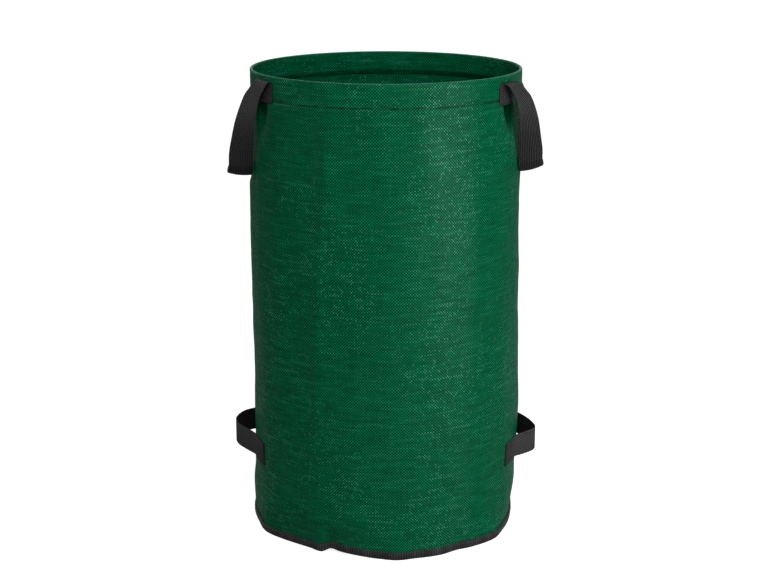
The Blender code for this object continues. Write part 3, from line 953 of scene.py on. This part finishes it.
class Finish:
    """A material's nodes, wired as they are added."""

    def __init__(self, name, colour, roughness, **sockets):
        self.material = bpy.data.materials.new(name)
        self.material.use_nodes = True
        self.tree = self.material.node_tree
        self.shader = self.tree.nodes["Principled BSDF"]
        self.shader.inputs["Base Color"].default_value = (*colour, 1.0)
        self.shader.inputs["Roughness"].default_value = roughness
        for socket, value in sockets.items():
            self.shader.inputs[socket.replace("_", " ")].default_value = value

    def add(self, kind, inputs, output=0, **settings):
        node = self.tree.nodes.new(f"ShaderNode{kind}")
        for key, value in settings.items():
            setattr(node, key, value)
        for socket, value in inputs.items():
            if isinstance(value, bpy.types.NodeSocket):
                self.tree.links.new(value, node.inputs[socket])
            else:
                node.inputs[socket].default_value = value
        return node.outputs[output]

    def reckon(self, operation, *values):
        return self.add("Math", dict(enumerate(values)), operation=operation)

    def plus(self, first, second):
        return self.reckon("ADD", first, second)

    def less(self, first, second):
        return self.reckon("SUBTRACT", first, second)

    def times(self, first, second):
        return self.reckon("MULTIPLY", first, second)

    def over(self, first, second):
        return self.reckon("DIVIDE", first, second)

    def size(self, value):
        return self.reckon("ABSOLUTE", value)

    def cut(self):
        """The two lengths of the piece's own cut, in metres."""
        flat = self.add("UVMap", {}, uv_map="cut")
        split = self.tree.nodes.new("ShaderNodeSeparateXYZ")
        self.tree.links.new(flat, split.inputs[0])
        return split.outputs[0], split.outputs[1]

    def pair(self, x, y, z=0.0):
        return self.add("CombineXYZ", {0: x, 1: y, 2: z})

    def noise(self, vector, scale, detail=2.0):
        return self.add("TexNoise", {"Vector": vector, "Scale": scale, "Detail": detail})

    def ranged(self, value, low, high, to_low=0.0, to_high=1.0):
        return self.add(
            "MapRange",
            {"Value": value, "From Min": low, "From Max": high, "To Min": to_low, "To Max": to_high},
            interpolation_type="SMOOTHSTEP",
        )

    def stretch(self, value, rise, fall):
        """1 from the end of the rise to the start of the fall, and 0 outside both."""
        return self.times(self.ranged(value, *rise), self.ranged(value, *fall, 1.0, 0.0))

    def between(self, share, first, second):
        """Colour between two, which are colours or sockets."""
        node = self.tree.nodes.new("ShaderNodeMix")
        node.data_type = "RGBA"
        for index, value in ((0, share), (6, first), (7, second)):
            if isinstance(value, bpy.types.NodeSocket):
                self.tree.links.new(value, node.inputs[index])
            else:
                node.inputs[index].default_value = value if index == 0 else (*value, 1.0)
        return node.outputs[2]

    def bump(self, height, distance, below=None):
        inputs = {"Height": height, "Distance": distance}
        if below is not None:
            inputs["Normal"] = below
        return self.add("Bump", inputs)

    def to(self, socket, value):
        self.tree.links.new(value, self.shader.inputs[socket])


def woven_cloth():
    """Flat green tapes, woven over and under and coated, the lying ones painted paler than the upright ones
    as a painted sheen. Some of the lying tapes catch the light and carry painted highlights, the rim's edge
    is paler from wear and a painted highlight, painted shade lies along the hem's stitching line, and painted
    shade darkens the pulled fold under the right upper handle's ends."""
    made = Finish("woven_green", (0.0005, 0.066, 0.026), 0.30, Specular_Tint=(0.62, 1.0, 0.80, 1.0))
    u, v = made.cut()
    columns = made.over(u, TAPE)
    rows = made.over(v, TAPE)
    column = made.reckon("FLOOR", columns)
    row = made.reckon("FLOOR", rows)
    x = made.less(made.reckon("FRACT", columns), 0.5)
    y = made.less(made.reckon("FRACT", rows), 0.5)
    upright = made.reckon("MODULO", made.plus(column, row), 2.0)
    lying = made.less(1.0, upright)

    def flat(place, start, end):
        return made.ranged(made.size(place), start, end, 1.0, 0.0)

    upright_height = made.times(flat(y, 0.22, 0.56), flat(x, 0.38, 0.5))
    lying_height = made.times(flat(x, 0.22, 0.56), flat(y, 0.38, 0.5))
    crossing = made.plus(made.times(upright, upright_height), made.times(lying, lying_height))

    def streaked(along, tape):
        """Where a tape's streaks are read: slowly along it, and well apart from its neighbours'."""
        return made.times(along, 22.0), made.times(tape, 3.17)

    row_streak = made.noise(made.pair(*streaked(u, row)), 1.0)
    column_streak = made.noise(made.pair(*reversed(streaked(v, column))), 1.0)
    row_tilt = made.times(made.less(row_streak, 0.5), y)
    column_tilt = made.times(made.less(column_streak, 0.5), x)
    tilt = made.plus(made.times(lying, row_tilt), made.times(upright, column_tilt))
    relief = made.plus(crossing, made.times(tilt, 4.0))
    made.to("Normal", made.bump(relief, 0.00010))

    row_shade = made.times(lying, row_streak)
    shade = made.plus(row_shade, made.times(upright, column_streak))
    # Lying tapes painted paler than upright ones: a painted sheen for their gloss, over random tone per tape
    dull = made.between(upright, (0.0001, 0.082, 0.033), (0.0001, 0.025, 0.009))
    bright = made.between(upright, (0.0006, 0.146, 0.065), (0.0002, 0.048, 0.019))
    tapes = made.between(made.ranged(shade, 0.3, 0.7), dull, bright)
    gaps = made.between(made.ranged(crossing, 0.0, 0.35), (0.0, 0.008, 0.003), tapes)
    chance = made.add("TexWhiteNoise", {"Vector": made.pair(column, row)}, noise_dimensions="2D")
    flat_row = made.ranged(row_streak, 0.58, 0.70)
    # Painted highlight: sparkling lying tapes painted pale, more so in random patches
    painted_highlight_area = made.noise(made.pair(made.plus(u, 0.13), made.times(v, 0.6)), 9.0, 2.0)
    chosen = made.reckon("MAXIMUM", made.ranged(chance, 0.80, 1.0), flat_row)
    spark = made.times(chosen, made.times(lying, made.ranged(crossing, 0.3, 0.8)))
    painted_glint = made.times(spark, made.ranged(painted_highlight_area, 0.42, 0.58, 0.12, 0.80))
    lit = made.between(painted_glint, gaps, (0.030, 0.225, 0.138))
    # Rim's edge paler: partly wear, partly a painted highlight on the top of the fold
    rim_edge_band = made.times(made.ranged(v, *WEAR_AND_SHEEN_START), made.ranged(v, *WEAR_AND_SHEEN_END))
    grain = made.noise(made.pair(made.times(u, 60.0), v), 8.0, 4.0)
    wear_and_sheen = made.times(rim_edge_band, made.ranged(grain, 0.35, 0.7))
    edged = made.between(made.times(wear_and_sheen, 0.6), lit, (0.12, 0.26, 0.20))
    # Painted shade along the hem's stitching line, broken into dashes
    stitch_shade_band = made.times(made.ranged(v, *STITCH_SHADE_START), made.ranged(v, *STITCH_SHADE_END))
    tight = made.noise(made.pair(made.times(u, 40.0), 0.5), 1.0, 2.0)
    sewn = made.times(stitch_shade_band, made.ranged(tight, 0.42, 0.56, 0.20, 1.0))
    with_stitch_shade = made.between(sewn, edged, (0.0, 0.004, 0.002))
    turned = made.times(made.less(u, RIM_ROUND / 2), 360.0 / RIM_ROUND)
    # Painted shade: darker colour and less gloss in the pulled fold under each end of the right upper handle
    aside = made.size(made.less(made.size(turned), 90.0))
    below = made.less(HEM_BOTTOM, v)
    slant = made.times(below, FOLD_SLANT)
    fold_middle = made.less(UPPER_END_AZIMUTH - FOLD_INWARD, slant)
    from_fold = made.size(made.less(aside, fold_middle))
    narrowed = made.plus(from_fold, made.times(below, FOLD_NARROWING))
    in_fold = made.ranged(narrowed, *FOLD_EDGE, 1.0, 0.0)
    starts = made.stretch(below, FOLD_START, FOLD_END)
    painted_fold_shade = made.times(in_fold, made.times(starts, made.ranged(turned, 0.0, 1.0)))
    made.to("Base Color", made.between(painted_fold_shade, with_stitch_shade, (0.0001, 0.018, 0.008)))
    shine = made.plus(made.times(lying, 0.140), made.times(spark, 0.36))
    shine = made.times(made.plus(shine, 0.006), made.less(1.0, painted_fold_shade))
    rise_start, rise_end, thin_left = COAT_RISE
    fall_start, fall_end, thin_right = COAT_FALL
    left_coat = made.ranged(turned, rise_start, rise_end, thin_left, 1.0)
    right_coat = made.ranged(turned, fall_start, fall_end, 1.0, thin_right)
    made.to("Specular IOR Level", made.times(shine, made.times(left_coat, right_coat)))
    made.to("Roughness", made.ranged(lying, 0.0, 1.0, 0.50, 0.32))
    return made.material


def black_webbing():
    """Lengthwise cords of black yarn with small floats across them. Beyond an upper handle's fold the floats
    are painted paler, a painted highlight.
    """
    made = Finish("webbing_black", (0.013, 0.013, 0.014), 0.65, Specular_IOR_Level=0.06)
    u, v = made.cut()
    cords = made.over(u, WEBBING_WIDTH / WEBBING_RIBS)
    cord = made.reckon("FLOOR", cords)
    aside = made.size(made.less(made.reckon("FRACT", cords), 0.5))
    offset = made.times(made.reckon("MODULO", cord, 2.0), 0.5)
    along = made.plus(made.over(v, FLOAT_PITCH), offset)
    beat = made.size(made.less(made.reckon("FRACT", along), 0.5))
    crown = made.ranged(aside, 0.48, 0.12)
    floats = made.times(made.ranged(beat, 0.10, 0.42), crown)
    yarn = made.noise(made.pair(u, made.times(v, 0.25)), 3800.0, 1.0)
    relief = made.plus(floats, made.times(yarn, 0.4))
    made.to("Normal", made.bump(relief, 0.0006))
    patchy = made.noise(made.pair(u, v), 90.0, 3.0)
    tone = made.between(made.ranged(patchy, 0.3, 0.7), (0.0040, 0.0040, 0.0043), (0.0080, 0.0080, 0.0083))
    cord_tone = made.between(made.ranged(crown, 0.0, 0.6), (0.002, 0.002, 0.002), tone)
    # Painted highlight: floats painted paler over this stretch of the webbing's length
    painted_highlight_area = made.stretch(v, PAINTED_HIGHLIGHT_START, PAINTED_HIGHLIGHT_END)
    float_tone = made.between(painted_highlight_area, (0.056, 0.056, 0.058), (0.105, 0.105, 0.108))
    made.to("Base Color", made.between(floats, cord_tone, float_tone))
    return made.material


def black_tape():
    """Ribbed tape: fine cords across its length."""
    made = Finish("binding_black", (0.017, 0.016, 0.016), 0.6, Specular_IOR_Level=0.12)
    u, v = made.cut()
    beat = made.reckon("FRACT", made.over(u, CORD_PITCH))
    cords = made.reckon("SINE", made.times(beat, math.pi))
    yarn = made.noise(made.pair(u, v), 2600.0, 1.0)
    made.to("Normal", made.bump(made.plus(cords, made.times(yarn, 0.4)), 0.00030))
    dust = made.noise(made.pair(u, v), 60.0, 3.0)
    tone = made.between(made.ranged(dust, 0.35, 0.75), (0.015, 0.014, 0.015), (0.044, 0.042, 0.041))
    made.to("Base Color", made.between(made.ranged(cords, 0.2, 0.8), (0.003, 0.003, 0.003), tone))
    return made.material


def thread(name, colour):
    """Twisted sewing thread."""
    made = Finish(name, colour, 0.5)
    place = made.add("TexCoord", {}, output=3)
    wave = {"Vector": place, "Scale": 900.0, "Distortion": 1.0}
    twist = made.add("TexWave", wave, bands_direction="DIAGONAL")
    made.to("Normal", made.bump(twist, 0.00008))
    lighter = tuple(1.8 * share for share in colour)
    made.to("Base Color", made.between(made.ranged(twist, 0.2, 0.8), colour, lighter))
    return made.material


def hoop_plastic():
    """Extruded black strip, slightly scuffed."""
    made = Finish("hoop_plastic", (0.020, 0.020, 0.021), 0.42, Specular_IOR_Level=0.3)
    place = made.add("TexCoord", {}, output=3)
    scuffs = made.noise(place, 240.0, 5.0)
    made.to("Normal", made.bump(scuffs, 0.00006))
    made.to("Roughness", made.ranged(scuffs, 0.3, 0.7, 0.36, 0.55))
    made.to("Base Color", made.between(scuffs, (0.014, 0.014, 0.015), (0.026, 0.026, 0.027)))
    return made.material


def make_bag():
    green = woven_cloth()
    wall = make_wall(green)
    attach(wall, "root")
    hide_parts("wall_panel")
    hem = make_hem(green)
    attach(hem, "rim")
    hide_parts("wall_panel")
    lap = make_seam_lap(green)
    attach(lap, "root")
    base = make_base(green)
    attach(base, "root")
    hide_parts("base_disc")
    tape = make_base_tape(black_tape())
    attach(tape, "root")
    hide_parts("base_binding")

    dark_thread = thread("thread_dark_green", (0.001, 0.007, 0.0035))
    black_thread = thread("thread_black", (0.010, 0.010, 0.010))
    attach(make_hem_stitching(dark_thread), "rim")
    seam = make_back_seam_stitching(dark_thread)
    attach(seam, "root")
    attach(make_base_stitching(black_thread), "root")
    for upright in (wall, lap, seam):
        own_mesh(upright)

    black = black_webbing()
    upper_middle = BAG_HEIGHT - UPPER_END_TOP - UPPER_END_LENGTH / 2
    end_turn = math.degrees(LOWER_END_LENGTH / 2 / RIM_RADIUS)
    for side in SIDES:
        make_upper_handle(side, black)
        make_lower_handle(side, black)
        for end, sign in ENDS.items():
            place = side_azimuth(side, sign * UPPER_END_AZIMUTH), upper_middle, UPPER_BOX, rim_radius
            sewn = make_end_stitching(f"upper_{side}_{end}_stitching", *place, black_thread)
            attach(sewn, "rim")
            azimuth = side_azimuth(side, sign * (LOWER_END_HALF_SPAN + end_turn) - LOWER_HANDLE_SETBACK)
            place = azimuth, LOWER_HANDLE_HEIGHT, LOWER_BOX, wall_radius
            sewn = make_end_stitching(f"lower_{side}_{end}_stitching", *place, black_thread)
            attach(sewn, f"lower_{side}_seat")

    plastic = hoop_plastic()
    for node in ("rim_hoop", "hoop_joiner"):
        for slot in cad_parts[node].material_slots:
            slot.material = plastic


def make_world():
    world = bpy.data.worlds.new("studio")
    world.use_nodes = True
    tree = world.node_tree
    sky = tree.nodes["Background"]
    sky.inputs["Color"].default_value = (1.0, 1.0, 1.0, 1.0)
    path = tree.nodes.new("ShaderNodeLightPath")
    seen = path.outputs["Is Camera Ray"]
    for other in ("Is Glossy Ray", "Is Transmission Ray"):
        either = tree.nodes.new("ShaderNodeMath")
        either.operation = "MAXIMUM"
        tree.links.new(seen, either.inputs[0])
        tree.links.new(path.outputs[other], either.inputs[1])
        seen = either.outputs[0]
    strength = tree.nodes.new("ShaderNodeMapRange")
    strength.inputs["To Min"].default_value = WORLD_LIGHT
    strength.inputs["To Max"].default_value = 1.0
    tree.links.new(seen, strength.inputs["Value"])
    tree.links.new(strength.outputs[0], sky.inputs["Strength"])
    bpy.context.scene.world = world


def make_floor():
    bm = bmesh.new()
    bmesh.ops.create_grid(bm, x_segments=1, y_segments=1, size=25.0)
    bmesh.ops.translate(bm, verts=bm.verts, vec=(0.0, 0.0, -FLOOR_DEPTH))
    made = Finish("floor_white", (0.50, 0.50, 0.50), 0.9, Specular_IOR_Level=0.1)
    floor = new_object("floor", bm, made.material)
    tree = made.tree
    path = tree.nodes.new("ShaderNodeLightPath")
    glow = tree.nodes.new("ShaderNodeMath")
    glow.operation = "MULTIPLY"
    glow.inputs[1].default_value = FLOOR_GLOW
    tree.links.new(path.outputs["Is Camera Ray"], glow.inputs[0])
    made.shader.inputs["Emission Color"].default_value = (1.0, 1.0, 1.0, 1.0)
    tree.links.new(glow.outputs[0], made.shader.inputs["Emission Strength"])


def softbox(name, place, aim, width, height, power):
    data = bpy.data.lights.new(name, "AREA")
    data.shape = "RECTANGLE"
    data.size = width
    data.size_y = height
    data.energy = power
    lamp = bpy.data.objects.new(name, data)
    lamp.location = place
    lamp.rotation_euler = (Vector(aim) - Vector(place)).to_track_quat("-Z", "Y").to_euler()
    bpy.context.scene.collection.objects.link(lamp)


def make_studio():
    make_world()
    make_floor()
    for lamp in LAMPS:
        softbox(*lamp)
    data = bpy.data.cameras.new("camera")
    data.lens = CAMERA_LENS
    data.sensor_width = CAMERA_SENSOR
    camera = bpy.data.objects.new("camera", data)
    camera.location = CAMERA_PLACE
    camera.rotation_euler = (math.radians(CAMERA_TILT), 0.0, 0.0)
    bpy.context.scene.collection.objects.link(camera)
    bpy.context.scene.camera = camera
    bpy.context.scene.view_settings.view_transform = "Standard"


make_bag()
make_studio()
